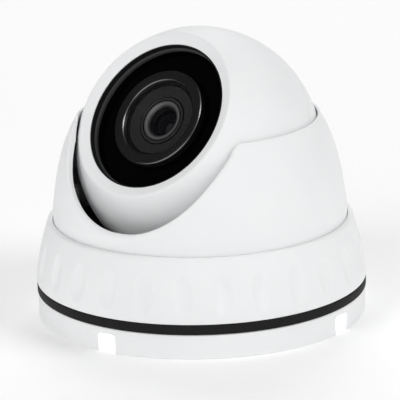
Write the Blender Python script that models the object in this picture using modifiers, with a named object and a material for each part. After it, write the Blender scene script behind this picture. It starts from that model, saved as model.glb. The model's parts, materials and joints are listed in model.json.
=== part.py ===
"""Turret-style dome CCTV camera, built as separate parts around one pan axis and one eye axis.

World frame: the origin is the centre of the base's underside, +Z is the pan axis, and the cut-out that
the eye looks through faces -Y. The eye parts are drawn in the eye's own frame, whose +Z is the lens axis.
Sizes below are in millimetres and become metres in the mesh helpers.
"""
from math import asin, cos, degrees, pi, radians, sin, sqrt

import bmesh
import bpy
from mathutils import Matrix, Vector

MM = 0.001
CLEAR = 0.3                    # gap between parts that touch on the real object

# Driving dimensions
BASE_R = 46.7
BASE_SKIRT_IN = 45.1
BASE_LEDGE_Z = 7.05
FLOOR_LOW, FLOOR_TOP = 5.3, 7.5
NECK_R, NECK_IN, NECK_TOP = 42.9, 40.2, 16.7
NOTCH_WIDE, NOTCH_OFFSET = 6.0, 0.57   # width, and distance of its middle from the axis
SCREW_CIRCLE_R, SCREW_HOLE_R = 32.0, 2.3
CABLE_HOLE_R, CABLE_BORE_R = 7.5, 3.6
GASKET_R = 47.0
RING_LOW, RING_TOP, RING_BORE = 10.0, 27.85, 42.1
RING_THREAD_R = 43.3           # clears the base neck and lets the dome's flange through
DIMPLES, DIMPLE_Z, DIMPLE_DEEP = 26, 17.8, 0.6
DOME_SKIRT_R, DOME_FLANGE_R, DOME_WALL = 41.75, 43.0, 2.0
DOME_LOW, DOME_RIM_Z = 17.0, 57.2
BALL_R, BALL_Z, BALL_WALL = 34.7, 47.1, 2.0
SEAM_H = -3.0                  # plane where the two eye shells meet
EYE_TURN, EYE_UP = -7.0, 37.2  # rest direction of the lens axis, in degrees
STACK_XY = 17.0                # board screws sit at plus and minus this
BOARD_SIDE, BOARD_THICK = 40.0, 1.6
LED_COUNT, LED_CIRCLE_R = 6, 18.0
FILTER_STEP = 6.2              # travel of the filter slide
ROUND, ROUND_MID, ROUND_SMALL, ROUND_TINY = 40, 24, 12, 8

FINISHES = {
    "white": ((0.84, 0.85, 0.86), 0.42, 0.0),
    "black_rubber": ((0.022, 0.022, 0.023), 0.72, 0.0),
    "black_plastic": ((0.02, 0.02, 0.022), 0.5, 0.0),
    "black_gloss": ((0.006, 0.006, 0.008), 0.06, 0.0),
    "foam": ((0.02, 0.02, 0.02), 0.95, 0.0),
    "glass": ((0.75, 0.8, 0.82), 0.02, 0.0),
    "lens_glass": ((0.05, 0.07, 0.12), 0.02, 0.0),
    "filter_glass": ((0.25, 0.55, 0.6), 0.03, 0.0),
    "anodised": ((0.03, 0.03, 0.032), 0.35, 0.8),
    "steel": ((0.62, 0.62, 0.63), 0.32, 1.0),
    "brass": ((0.72, 0.55, 0.25), 0.35, 1.0),
    "circuit_board": ((0.02, 0.16, 0.07), 0.5, 0.0),
    "chip": ((0.03, 0.03, 0.035), 0.55, 0.0),
    "led": ((0.82, 0.8, 0.72), 0.2, 0.0),
    "copper_coil": ((0.5, 0.2, 0.08), 0.4, 0.9),
    "nylon": ((0.75, 0.74, 0.7), 0.5, 0.0),
}


def clear_scene():
    """Remove every object, so that the model starts from an empty scene."""
    for old in list(bpy.data.objects):
        bpy.data.objects.remove(old, do_unlink=True)


def new_collection(name):
    group = bpy.data.collections.new(name)
    bpy.context.scene.collection.children.link(group)
    return group


def finish_material(name, finish):
    """A Principled material of a node's own, from the table of finishes."""
    colour, roughness, metallic = FINISHES[finish]
    material = bpy.data.materials.new(name)
    material.use_nodes = True
    shader = material.node_tree.nodes["Principled BSDF"]
    shader.inputs["Base Color"].default_value = (*colour, 1.0)
    shader.inputs["Roughness"].default_value = roughness
    shader.inputs["Metallic"].default_value = metallic
    return material


def add_part(name, mesh, finish, parent=None):
    part = bpy.data.objects.new(name, mesh)
    PARTS.objects.link(part)
    part.data.materials.append(finish_material(name, finish))
    part.parent = parent
    return part


def add_tool(name, mesh, parent=None):
    """An object that only cuts or joins others."""
    tool = bpy.data.objects.new(name, mesh)
    CUTTERS.objects.link(tool)
    tool.hide_render = True
    tool.display_type = "WIRE"
    tool.parent = parent
    return tool


def boolean(target, tool, operation="DIFFERENCE"):
    change = target.modifiers.new(tool.name, "BOOLEAN")
    change.operation = operation
    change.solver = "EXACT"
    change.object = tool


def profile_mesh(name, profile):
    """Edges through the profile's (radius, height) points, closed unless it starts on the axis."""
    points = [(r * MM, 0.0, z * MM) for r, z in profile]
    edges = [(i, i + 1) for i in range(len(points) - 1)]
    if profile[0][0] > 0.0:
        edges.append((len(points) - 1, 0))
    mesh = bpy.data.meshes.new(name)
    mesh.from_pydata(points, edges, [])
    return mesh


def spin(part, steps):
    """Turn a profile once round the part's own Z axis."""
    screw = part.modifiers.new("turn", "SCREW")
    screw.axis = "Z"
    screw.angle = 2 * pi
    screw.steps = steps
    screw.render_steps = steps
    screw.use_merge_vertices = True
    screw.merge_threshold = 1e-6
    screw.use_smooth_shade = True


def turned(name, profile, finish, parent=None, steps=ROUND_MID):
    part = add_part(name, profile_mesh(name, profile), finish, parent)
    spin(part, steps)
    return part


def ring(name, r_in, r_out, low, high, finish, parent=None, steps=ROUND_MID):
    """A plain ring of rectangular section."""
    profile = [(r_in, high), (r_out, high), (r_out, low), (r_in, low)]
    return turned(name, profile, finish, parent, steps)


def disc(name, radius, low, high, finish, parent=None, steps=ROUND_MID):
    profile = [(0.0, high), (radius, high), (radius, low), (0.0, low)]
    return turned(name, profile, finish, parent, steps)


def rods_mesh(name, rods, segments=ROUND_SMALL):
    """Upright cylinders (x, y, low, high, radius) in one mesh."""
    shape = bmesh.new()
    for x, y, low, high, radius in rods:
        place = Matrix.Translation(Vector((x, y, (low + high) / 2)) * MM)
        bmesh.ops.create_cone(shape, cap_ends=True, segments=segments, radius1=radius * MM,
                              radius2=radius * MM, depth=(high - low) * MM, matrix=place)
    mesh = bpy.data.meshes.new(name)
    shape.to_mesh(mesh)
    shape.free()
    return mesh


def boxes_mesh(name, boxes):
    """Boxes (centre, size) in one mesh."""
    shape = bmesh.new()
    for centre, size in boxes:
        place = Matrix.Translation(Vector(centre) * MM) @ Matrix.Diagonal((*[s * MM for s in size], 1.0))
        bmesh.ops.create_cube(shape, size=1.0, matrix=place)
    mesh = bpy.data.meshes.new(name)
    shape.to_mesh(mesh)
    shape.free()
    return mesh


def block(name, centre, size, finish, parent=None, edge=0.0):
    part = add_part(name, boxes_mesh(name, [(centre, size)]), finish, parent)
    if edge > 0.0:
        bevel = part.modifiers.new("edge", "BEVEL")
        bevel.width = edge * MM
        bevel.segments = 1
    return part


def circle_points(count, radius, start=0.0):
    """Points (x, y) evenly round a circle; the start angle is in degrees from +X."""
    angles = [radians(start) + 2 * pi * i / count for i in range(count)]
    return [(radius * cos(a), radius * sin(a)) for a in angles]


def arc(radius, start, end, steps, centre=(0.0, 0.0)):
    """Profile points on an arc from one angle to another, in degrees above the horizontal."""
    angles = [radians(start + (end - start) * i / steps) for i in range(steps + 1)]
    return [(centre[0] + radius * cos(a), centre[1] + radius * sin(a)) for a in angles]


def spread(low, high, count):
    return [low + (high - low) * i / (count - 1) for i in range(count)]


def ball_radius_at(z):
    """Radius of the eyeball's horizontal section at a world height."""
    return sqrt(max(BALL_R ** 2 - (z - BALL_Z) ** 2, 0.0))


def dome_radius_at(z):
    """Outer radius of the dome cover: a slow barrel curve above the ring."""
    t = max(z - 28.0, 0.0) / 10.0
    return min(42.23 - 1.47 * t + 0.31 * t ** 2 - 0.25 * t ** 3, DOME_SKIRT_R)


def ring_radius_at(z):
    """Outer radius of the locking ring, which bellies in towards its top."""
    t = (z - 12.0) / 10.0
    return 46.93 - 0.77 * t - 1.39 * t ** 2 + 0.28 * t ** 3


# ---------------------------------------------------------------- base

def build_base():
    """Wall cup with its neck, foam gasket, cable grommet and weather seal."""
    seal_in, seal_out, seal_low = 41.0, 42.2, 15.5
    cup = turned("base_cup", [
        (seal_out, NECK_TOP), (NECK_R, NECK_TOP), (NECK_R, BASE_LEDGE_Z), (BASE_R - 0.4, BASE_LEDGE_Z),
        (BASE_R, BASE_LEDGE_Z - 0.4), (BASE_R, 0.0), (BASE_SKIRT_IN, 0.0), (BASE_SKIRT_IN, FLOOR_LOW),
        (CABLE_HOLE_R, FLOOR_LOW), (CABLE_HOLE_R, FLOOR_TOP), (NECK_IN, FLOOR_TOP), (NECK_IN, NECK_TOP),
        (seal_in, NECK_TOP), (seal_in, seal_low), (seal_out, seal_low)], "white", steps=ROUND)
    reach, tall = 5.0, FLOOR_LOW + 1.0
    middle = FLOOR_LOW - 0.05 - tall / 2
    notches = []
    for side in (-1, 1):
        notches.append(((side * BASE_R, side * NOTCH_OFFSET, middle), (reach, NOTCH_WIDE, tall)))
        notches.append(((side * NOTCH_OFFSET, side * BASE_R, middle), (NOTCH_WIDE, reach, tall)))
    boolean(cup, add_tool("notch_cutter", boxes_mesh("notch_cutter", notches)))
    holes = [(x, y, FLOOR_LOW - 1, FLOOR_TOP + 1, SCREW_HOLE_R)
             for x, y in circle_points(3, SCREW_CIRCLE_R, 30)]
    boolean(cup, add_tool("wall_screw_cutter", rods_mesh("wall_screw_cutter", holes)))

    gasket_low, gasket_top = BASE_LEDGE_Z + CLEAR, RING_LOW - CLEAR
    edge = 0.3
    turned("base_gasket", [
        (NECK_R + 0.4, gasket_top), (GASKET_R - edge, gasket_top), (GASKET_R, gasket_top - edge),
        (GASKET_R, gasket_low + edge), (GASKET_R - edge, gasket_low), (NECK_R + 0.4, gasket_low)],
        "black_rubber", steps=ROUND)

    lip, flange_r = 1.4, 9.5
    low, high = FLOOR_LOW - CLEAR, FLOOR_TOP + CLEAR
    turned("cable_grommet", [
        (CABLE_BORE_R, high + lip), (flange_r - 1.0, high + lip), (flange_r, high),
        (CABLE_HOLE_R - CLEAR, high), (CABLE_HOLE_R - CLEAR, low), (flange_r, low),
        (flange_r - 0.5, low - lip), (CABLE_BORE_R, low - lip)], "black_rubber")
    ring("pan_seal", seal_in + CLEAR, seal_out - CLEAR, seal_low + CLEAR, NECK_TOP, "black_rubber",
         steps=ROUND)


# ---------------------------------------------------------------- locking ring

def build_ring():
    """Slip washer and the finger-grip ring that screws down over the dome's flange."""
    flange_top, shoulder = 19.0, 20.4
    ring("slip_washer", DOME_SKIRT_R + CLEAR, DOME_FLANGE_R, flange_top + CLEAR, shoulder - CLEAR, "nylon",
         steps=ROUND)
    outer = [(ring_radius_at(z), z) for z in spread(RING_TOP - 1.2, RING_LOW + 0.3, 7)]
    outer.append((ring_radius_at(RING_LOW) - 0.3, RING_LOW))
    lip = [(RING_BORE, RING_TOP - 0.25), (RING_BORE + 0.3, RING_TOP), (RING_BORE + 1.0, RING_TOP - 0.3)]
    lock = turned("locking_ring", lip + outer + [
        (RING_THREAD_R, RING_LOW), (RING_THREAD_R, shoulder), (RING_BORE, shoulder)], "white", steps=ROUND)

    half_wide, half_high = 2.7, 5.5
    round_r = (half_wide ** 2 + DIMPLE_DEEP ** 2) / (2 * DIMPLE_DEEP)
    tall = sqrt(round_r * (half_high ** 2 + DIMPLE_DEEP ** 2) / (2 * DIMPLE_DEEP))
    shape = bmesh.new()
    middle = ring_radius_at(DIMPLE_Z) - DIMPLE_DEEP + round_r
    for x, y in circle_points(DIMPLES, middle, -90.0):
        place = Matrix.Translation(Vector((x, y, DIMPLE_Z)) * MM)
        turn = Matrix.Rotation(Vector((x, y)).angle_signed(Vector((1.0, 0.0))), 4, "Z")
        stretch = Matrix.Diagonal((round_r, round_r, tall, 1.0))
        bmesh.ops.create_uvsphere(shape, u_segments=16, v_segments=12, radius=MM,
                                  matrix=place @ turn @ stretch)
    mesh = bpy.data.meshes.new("dimple_cutter")
    shape.to_mesh(mesh)
    shape.free()
    boolean(lock, add_tool("dimple_cutter", mesh))


# ---------------------------------------------------------------- dome cover

def cutout_outline():
    """Front view (x, z) of the U-shaped cut-out, from the left rim corner to the right one."""
    half_top, top, deep, fullness = 27.58, 59.0, 26.45, 0.572
    corner = 3.5
    sides = []
    for i in range(1, 15):
        angle = radians(90 * i / 15)
        x = half_top * cos(angle)
        drop = deep * (1 - (x / half_top) ** 2) ** fullness
        sides.append((x, top - drop))
    sides = [(x, z) for x, z in sides if z < DOME_RIM_Z - corner]
    rim_x = sides[0][0]
    flare = [(corner, DOME_RIM_Z + 3.0), (corner, DOME_RIM_Z), (1.3, DOME_RIM_Z - 1.0)]
    right = [(rim_x + out, z) for out, z in flare] + sides
    return [(-x, z) for x, z in right] + [(0.0, top - deep)] + right[::-1]


def build_dome():
    """Cover with its U-shaped cut-out, and the retainer that holds the eyeball up from below."""
    heights = spread(29.5, DOME_RIM_Z - 1.2, 8)
    outer = [(dome_radius_at(z), z) for z in reversed(heights)]
    inner = [(max(dome_radius_at(z) - DOME_WALL, ball_radius_at(z) + 0.45), z) for z in heights]
    rim_mid = (outer[0][0] + inner[-1][0]) / 2
    cover = turned("dome_cover", [(rim_mid - 0.2, DOME_RIM_Z), (rim_mid + 0.4, DOME_RIM_Z)] + outer + [
        (DOME_SKIRT_R, 19.0), (DOME_FLANGE_R, 19.0), (DOME_FLANGE_R, DOME_LOW),
        (DOME_SKIRT_R - DOME_WALL, DOME_LOW)] + inner, "white", PAN_AXIS, steps=ROUND)

    boss_low, boss_circle = 24.8, 37.2
    spots = circle_points(3, boss_circle, 90)
    bosses = [(x, y, boss_low, 36.0, 2.9) for x, y in spots]
    boolean(cover, add_tool("dome_boss_joiner", rods_mesh("dome_boss_joiner", bosses), PAN_AXIS), "UNION")
    holes = [(x, y, boss_low - 1, 33.0, 1.3) for x, y in spots]
    boolean(cover, add_tool("dome_boss_cutter", rods_mesh("dome_boss_cutter", holes), PAN_AXIS))

    outline = bpy.data.curves.new("cutout_outline", "CURVE")
    outline.dimensions = "2D"
    outline.fill_mode = "BOTH"
    outline.extrude = 20.0 * MM
    points = cutout_outline()
    line = outline.splines.new("POLY")
    line.points.add(len(points) - 1)
    for spot, (x, z) in zip(line.points, points):
        spot.co = (x * MM, z * MM, 0.0, 1.0)
    line.use_cyclic_u = True
    drawing = bpy.data.objects.new("cutout_drawing", outline)
    CUTTERS.objects.link(drawing)
    drawing.matrix_world = Matrix.Translation((0.0, -31.0 * MM, 0.0)) @ Matrix.Rotation(pi / 2, 4, "X")
    boolean(cover, curve_to_tool(drawing, "cutout_cutter"))

    plate_low, plate_top = 22.0, 24.5
    plate = ring("ball_retainer", 27.4, 39.4, plate_low, plate_top, "black_plastic", PAN_AXIS, steps=ROUND)
    holes = [(x, y, plate_low - 1, plate_top + 1, 1.4) for x, y in spots]
    boolean(plate, add_tool("retainer_hole_cutter", rods_mesh("retainer_hole_cutter", holes), PAN_AXIS))
    pad_top = 28.0
    turned("friction_ring", [
        (ball_radius_at(pad_top) + 0.5, pad_top), (31.5, pad_top), (31.5, plate_top + CLEAR),
        (ball_radius_at(plate_top + CLEAR) + 0.5, plate_top + CLEAR)], "black_rubber", PAN_AXIS, steps=ROUND)
    for i, (x, y) in enumerate(spots):
        screw = pan_head_screw(f"retainer_screw_{i + 1}", 2.0, 1.7, 1.0, 10.3, PAN_AXIS)
        screw.location = Vector((x, y, plate_low - CLEAR)) * MM


def curve_to_tool(drawing, name):
    """Turn a filled curve into a welded closed mesh, which a Boolean can use."""
    bpy.context.view_layer.update()
    evaluated = drawing.evaluated_get(bpy.context.evaluated_depsgraph_get())
    mesh = bpy.data.meshes.new_from_object(evaluated)
    mesh.name = name
    shape = bmesh.new()
    shape.from_mesh(mesh)
    bmesh.ops.remove_doubles(shape, verts=shape.verts, dist=1e-6)
    bmesh.ops.recalc_face_normals(shape, faces=shape.faces)
    shape.to_mesh(mesh)
    shape.free()
    tool = add_tool(name, mesh)
    tool.matrix_world = drawing.matrix_world
    bpy.data.objects.remove(drawing, do_unlink=True)
    return tool


def pan_head_screw(name, head_r, head_high, shank_r, shank_long, parent):
    """A screw whose origin is under its head, with the shank along +Z."""
    return turned(name, [
        (0.0, shank_long), (shank_r * 0.7, shank_long), (shank_r, shank_long - 0.4), (shank_r, 0.0),
        (head_r, 0.0), (head_r, -head_high * 0.45), (head_r * 0.7, -head_high), (0.0, -head_high)],
        "steel", parent, steps=ROUND_TINY)


# ---------------------------------------------------------------- eyeball shells

def sphere_arc(radius, high, low, steps):
    """Profile points on the ball's section from one height to another."""
    return arc(radius, degrees(asin(high / radius)), degrees(asin(low / radius)), steps)


def build_shells():
    """Front shell with its funnel bezel, rear shell, their seal, and the rear cable gland."""
    inner_r = BALL_R - BALL_WALL
    bezel_foot, lip_low = 22.3, 21.6
    outer = sphere_arc(BALL_R, bezel_foot, SEAM_H, 7)
    inner = sphere_arc(inner_r, SEAM_H, lip_low, 5)
    crest = [(22.0, 22.4), (23.9, 23.2), (24.6, 23.4), (25.3, 23.25)]
    front = turned("front_shell", crest + outer + inner + [(22.0, lip_low)], "white", EYE, steps=ROUND)
    shell_spots = circle_points(3, 28.6, 30)
    posts = [(x, y, 15.5, 22.0, 2.1) for x, y in STACK_SPOTS]
    posts += [(x, y, SEAM_H, 13.0, 2.2) for x, y in shell_spots]
    boolean(front, add_tool("front_post_joiner", rods_mesh("front_post_joiner", posts), EYE), "UNION")
    holes = [(x, y, 14.5, 21.0, 1.4) for x, y in STACK_SPOTS]
    holes += [(x, y, SEAM_H - 1, 6.0, 1.2) for x, y in shell_spots]
    boolean(front, add_tool("front_post_cutter", rods_mesh("front_post_cutter", holes, ROUND_TINY), EYE))

    top = SEAM_H - CLEAR
    pocket_r, pocket_floor, gland_hole_r, pad_floor = 9.3, -31.9, 6.3, -30.2
    pocket_edge = -sqrt(BALL_R ** 2 - pocket_r ** 2)
    outer = sphere_arc(BALL_R, top, pocket_edge, 8)
    inner = sphere_arc(inner_r, pad_floor, top, 5)
    rear = turned("rear_shell", outer + [
        (pocket_r, pocket_floor), (gland_hole_r, pocket_floor), (gland_hole_r, pad_floor)] + inner,
        "white", EYE, steps=ROUND)
    wide_top = SEAM_H - 1.2
    bosses = add_tool("rear_boss_joiner", rods_mesh("rear_boss_joiner", [
        (x, y, -18.0, wide_top, 3.0) for x, y in shell_spots]), EYE)
    limit_mesh = bmesh.new()
    bmesh.ops.create_uvsphere(limit_mesh, u_segments=32, v_segments=24, radius=(BALL_R - 1.0) * MM)
    mesh = bpy.data.meshes.new("boss_limit")
    limit_mesh.to_mesh(mesh)
    limit_mesh.free()
    boolean(bosses, add_tool("boss_limit", mesh, EYE), "INTERSECT")
    boolean(rear, bosses, "UNION")
    necks = [(x, y, wide_top - 1, top, 2.2) for x, y in shell_spots]
    boolean(rear, add_tool("rear_neck_joiner", rods_mesh("rear_neck_joiner", necks), EYE), "UNION")
    seat = -9.0
    holes = [(x, y, -30.0, seat, 2.2) for x, y in shell_spots]
    boolean(rear, add_tool("rear_counterbore_cutter", rods_mesh("rear_counterbore_cutter", holes), EYE))
    holes = [(x, y, seat - 1, top + 1, 1.2) for x, y in shell_spots]
    boolean(rear, add_tool("rear_hole_cutter", rods_mesh("rear_hole_cutter", holes, ROUND_TINY), EYE))
    for i, (x, y) in enumerate(shell_spots):
        screw = pan_head_screw(f"shell_screw_{i + 1}", 1.9, 1.6, 0.9, 13.5, EYE)
        screw.location = Vector((x, y, seat - CLEAR)) * MM
    ring("shell_seal", 31.1, 32.25, SEAM_H - 0.9, SEAM_H + 0.9, "black_rubber", EYE, steps=ROUND)

    gland_bore, flange_r, catch_r = 3.0, 9.0, 8.2
    turned("rear_gland", [
        (gland_bore, pad_floor + 1.6), (catch_r - 0.8, pad_floor + 1.6), (catch_r, pad_floor + CLEAR),
        (gland_hole_r - CLEAR, pad_floor + CLEAR), (gland_hole_r - CLEAR, pocket_floor - CLEAR),
        (flange_r, pocket_floor - CLEAR), (flange_r, -33.2), (gland_bore, -33.2)], "black_rubber", EYE)


# ---------------------------------------------------------------- window group

def build_window():
    """Black annular window with its trim, the lens collar, its cover glass and light baffle."""
    turned("window_trim", [(21.15, 22.2), (21.7, 22.2), (21.7, 19.5), (21.15, 19.5)], "black_plastic", EYE,
           steps=ROUND)
    ring("ir_window", 14.7, 21.5, 17.4, 19.2, "black_gloss", EYE, steps=ROUND)
    glass_seat, collar_low, collar_top = 19.6, 15.5, 21.7
    turned("lens_collar", [
        (11.8, collar_top), (14.1, collar_top), (14.4, collar_top - 0.3), (14.4, collar_low),
        (10.8, collar_low), (10.8, glass_seat), (11.15, glass_seat), (11.15, 20.5)], "black_plastic", EYE)
    disc("cover_glass", 10.9, glass_seat + CLEAR, 20.4, "glass", EYE)
    turned("lens_baffle", [(7.3, 19.0), (10.45, 19.5), (10.45, 16.2), (7.3, 16.2)], "foam", EYE)


# ---------------------------------------------------------------- lens and filter

def build_lens():
    """Screw-in lens in its holder, above the sliding filter and the image sensor."""
    head_r, thread_r, head_low, head_top, tail = 7.0, 5.9, 14.6, 19.2, 6.3
    turned("lens_barrel", [
        (4.4, 18.6), (6.0, head_top - 0.1), (6.2, head_top - 0.5), (6.4, head_top), (head_r - 0.2, head_top),
        (head_r, head_top - 0.2), (head_r, head_low), (thread_r, head_low), (thread_r, tail),
        (4.0, tail), (4.0, 10.5), (2.2, 11.5), (2.2, 13.6), (4.4, 14.8)], "anodised", EYE)
    curve = arc(9.0, 83.0, 63.5, 4, (0.0, 8.6))
    turned("front_element", [(0.0, 17.6)] + curve + [(4.05, 15.1), (0.0, 15.1)], "lens_glass", EYE)
    disc("rear_element", 3.65, 7.2, 9.6, "lens_glass", EYE)

    plate_low, holder_top, holder_bore, holder_r = 5.8, 14.2, 6.3, 8.0
    holder = disc("lens_holder", holder_r, plate_low, holder_top, "black_plastic", EYE)
    plate = add_tool("holder_plate_joiner", boxes_mesh("holder_plate_joiner", [
        ((0.0, 0.0, plate_low + 0.9), (24.0, 17.4, 1.8))]), EYE)
    boolean(holder, plate, "UNION")
    bore = (0.0, 0.0, plate_low - 1, holder_top + 1, holder_bore)
    boolean(holder, add_tool("holder_bore_cutter", rods_mesh("holder_bore_cutter", [bore], ROUND_MID), EYE))

    board_top = SEAM_H + 2.2
    low, high = board_top + CLEAR, 5.5
    housing = block("ircut_housing", (0.0, 0.0, (low + high) / 2), (24.0, 17.0, high - low),
                    "black_plastic", EYE)
    pocket = ((0.0, 0.0, low + 1.9), (20.4, 12.6, 4.4))
    boolean(housing, add_tool("filter_pocket_cutter", boxes_mesh("filter_pocket_cutter", [pocket]), EYE))
    light_hole = rods_mesh("light_hole_cutter", [(0.0, 0.0, 3.0, high + 1, 4.4)])
    boolean(housing, add_tool("light_hole_cutter", light_hole, EYE))

    frame_low, frame_thick, filter_side = 1.4, 1.2, 5.0
    middle = FILTER_STEP / 2
    size = (2 * filter_side + 3.2, 8.4, frame_thick)
    slide = block("filter_slide", (middle, 0.0, frame_low + frame_thick / 2), size, "black_plastic", EYE)
    gap = filter_side + 2 * CLEAR
    windows = [((x, 0.0, frame_low + frame_thick / 2), (gap, gap, 4.0)) for x in (0.0, FILTER_STEP)]
    boolean(slide, add_tool("filter_window_cutter", boxes_mesh("filter_window_cutter", windows), EYE))
    pane = (filter_side, filter_side, 0.6)
    block("ir_cut_filter", (0.0, 0.0, frame_low + frame_thick / 2), pane, "filter_glass", EYE)
    block("clear_filter", (FILTER_STEP, 0.0, frame_low + frame_thick / 2), pane, "glass", EYE)
    coil = turned("ircut_coil", [
        (0.0, 4.6), (2.4, 4.6), (2.4, 3.8), (1.9, 3.8), (1.9, -3.8), (2.4, -3.8), (2.4, -4.6), (0.0, -4.6)],
        "copper_coil", EYE, steps=ROUND_SMALL)
    coil.location = Vector((-15.0, 0.0, low + 2.4)) * MM
    coil.rotation_euler = (pi / 2, 0.0, 0.0)


# ---------------------------------------------------------------- boards

def board(name, low, finish="circuit_board"):
    """A square circuit board with a screw hole near each corner."""
    part = block(name, (0.0, 0.0, low + BOARD_THICK / 2), (BOARD_SIDE, BOARD_SIDE, BOARD_THICK), finish, EYE)
    boolean(part, BOARD_HOLES)
    return part


def build_boards():
    """Lamp board, sensor board and main board on four long screws, with what is soldered to them."""
    lamp_low, sensor_low, main_low = 13.6, -2.4, -12.0
    lamp_board = ring("ir_led_board", 9.0, 26.1, lamp_low, lamp_low + BOARD_THICK, "circuit_board", EYE,
                      steps=ROUND)
    boolean(lamp_board, BOARD_HOLES)
    board("sensor_board", sensor_low)
    board("main_board", main_low)

    lamp_floor = lamp_low + BOARD_THICK + CLEAR
    for i, (x, y) in enumerate(circle_points(LED_COUNT, LED_CIRCLE_R, 30)):
        lamp = turned(f"ir_led_{i + 1}", [
            (0.0, 1.6), (0.7, 1.45), (1.2, 1.0), (1.35, 0.5), (1.7, 0.5), (1.7, 0.0), (0.0, 0.0)],
            "led", EYE, steps=ROUND_TINY)
        lamp.location = Vector((x, y, lamp_floor)) * MM
    eye_spot = circle_points(1, LED_CIRCLE_R)[0]
    photocell = disc("photocell", 1.3, 0.0, 1.1, "led", EYE, steps=ROUND_TINY)
    photocell.location = Vector((*eye_spot, lamp_floor)) * MM

    sensor_top = sensor_low + BOARD_THICK + CLEAR
    block("image_sensor", (0.0, 0.0, sensor_top + 0.55), (9.0, 7.0, 1.1), "chip", EYE)
    main_top = main_low + BOARD_THICK + CLEAR
    block("processor", (0.0, 0.0, main_top + 0.6), (12.0, 12.0, 1.2), "chip", EYE)
    block("cable_socket", (0.0, -10.0, main_low - CLEAR - 2.5), (12.0, 5.0, 5.0), "nylon", EYE)

    for i, (x, y) in enumerate(STACK_SPOTS):
        front = ring(f"front_spacer_{i + 1}", 1.5, 2.3, sensor_top, lamp_low - CLEAR, "brass", EYE,
                     steps=ROUND_TINY)
        rear = ring(f"rear_spacer_{i + 1}", 1.5, 2.3, main_top, sensor_low - CLEAR, "brass", EYE,
                    steps=ROUND_TINY)
        screw = pan_head_screw(f"stack_screw_{i + 1}", 2.2, 1.6, 1.1, 32.0, EYE)
        front.location = Vector((x, y, 0.0)) * MM
        rear.location = Vector((x, y, 0.0)) * MM
        screw.location = Vector((x, y, main_low - CLEAR)) * MM


def add_empty(name, location, rotation):
    empty = bpy.data.objects.new(name, None)
    PARTS.objects.link(empty)
    empty.location = location
    empty.rotation_euler = rotation
    return empty


clear_scene()
PARTS = new_collection("dome_cctv_camera")
CUTTERS = new_collection("cutters")
PAN_AXIS = add_empty("pan_axis", (0.0, 0.0, 0.0), (0.0, 0.0, 0.0))
EYE = add_empty("eye_centre", (0.0, 0.0, BALL_Z * MM), (radians(90.0 - EYE_UP), 0.0, radians(EYE_TURN)))
STACK_SPOTS = [(x, y) for x in (-STACK_XY, STACK_XY) for y in (-STACK_XY, STACK_XY)]
BOARD_HOLES = add_tool("board_hole_cutter", rods_mesh("board_hole_cutter", [
    (x, y, -14.0, 15.4, 1.5) for x, y in STACK_SPOTS], ROUND_TINY), EYE)
build_base()
build_ring()
build_dome()
build_shells()
build_window()
build_lens()
build_boards()
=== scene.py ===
"""Looks of a turret-style dome camera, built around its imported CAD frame.

World axes follow the frame: +Z is the pan axis and the cut-out in the dome cover faces -Y. Profiles are
in millimetres, as (radius, height) or (radius, height, rounding), and become metres when a mesh is made.
Heights of eye parts are measured from the eyeball's centre along the lens axis.
"""

import json
from math import asin, atan2, cos, degrees, pi, radians, sin, sqrt

import bmesh
import bpy
from mathutils import Matrix, Vector


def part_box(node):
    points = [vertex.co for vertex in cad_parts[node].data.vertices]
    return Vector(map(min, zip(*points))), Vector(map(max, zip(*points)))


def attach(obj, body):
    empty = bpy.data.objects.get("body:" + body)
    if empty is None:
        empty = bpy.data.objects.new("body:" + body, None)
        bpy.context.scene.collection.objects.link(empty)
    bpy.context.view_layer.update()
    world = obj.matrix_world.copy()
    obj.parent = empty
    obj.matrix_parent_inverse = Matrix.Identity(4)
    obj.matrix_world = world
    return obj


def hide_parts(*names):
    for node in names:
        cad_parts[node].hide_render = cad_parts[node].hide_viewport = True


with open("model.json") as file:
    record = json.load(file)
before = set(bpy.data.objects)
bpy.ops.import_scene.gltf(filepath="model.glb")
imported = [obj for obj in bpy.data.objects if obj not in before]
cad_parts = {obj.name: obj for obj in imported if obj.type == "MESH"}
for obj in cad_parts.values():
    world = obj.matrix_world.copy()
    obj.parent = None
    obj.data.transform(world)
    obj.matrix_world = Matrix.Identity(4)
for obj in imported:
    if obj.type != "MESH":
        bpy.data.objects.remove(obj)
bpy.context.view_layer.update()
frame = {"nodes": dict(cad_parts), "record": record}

MM = 0.001
UPRIGHT = Matrix.Identity(4)


def joint(name):
    return next(j for j in frame["record"]["behaviour"]["joints"] if j["name"] == name)


def eye_frame():
    """The eyeball's own axes: +Z along the lens, +X along the tilt axle, at the ball's centre."""
    lens_axis = Vector(joint("roll")["axis"]).normalized()
    tilt_axis = Vector(joint("tilt")["axis"]).normalized()
    side = lens_axis.cross(tilt_axis)
    turn = Matrix((tilt_axis, side, lens_axis)).transposed().to_4x4()
    return Matrix.Translation(joint("roll")["pos_m"]) @ turn


EYE = eye_frame()


def node_span(node):
    """Lowest and highest point of a CAD node, in millimetres."""
    low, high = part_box(node)
    return low[2] / MM, high[2] / MM


# ---------------------------------------------------------------- sizes shared by several pieces

BALL_R = 34.7
BALL_Z = EYE.translation.z / MM
BALL_IN_R = BALL_R - 2.0
SEAM_H = -3.0                  # where the two shells of the eyeball meet
HALF_SEAM = 0.06
SEAM_R = sqrt(BALL_R ** 2 - SEAM_H ** 2) - 0.18
RING_PITCHES = 26              # finger dimples round the locking ring
SHARP = 38.0                   # edges that turn by more than this, in degrees, stay crisp
FINE, MEDIUM, COARSE = 256, 128, 48    # steps round large, middling and small turned pieces


# ---------------------------------------------------------------- mesh helpers

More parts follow.
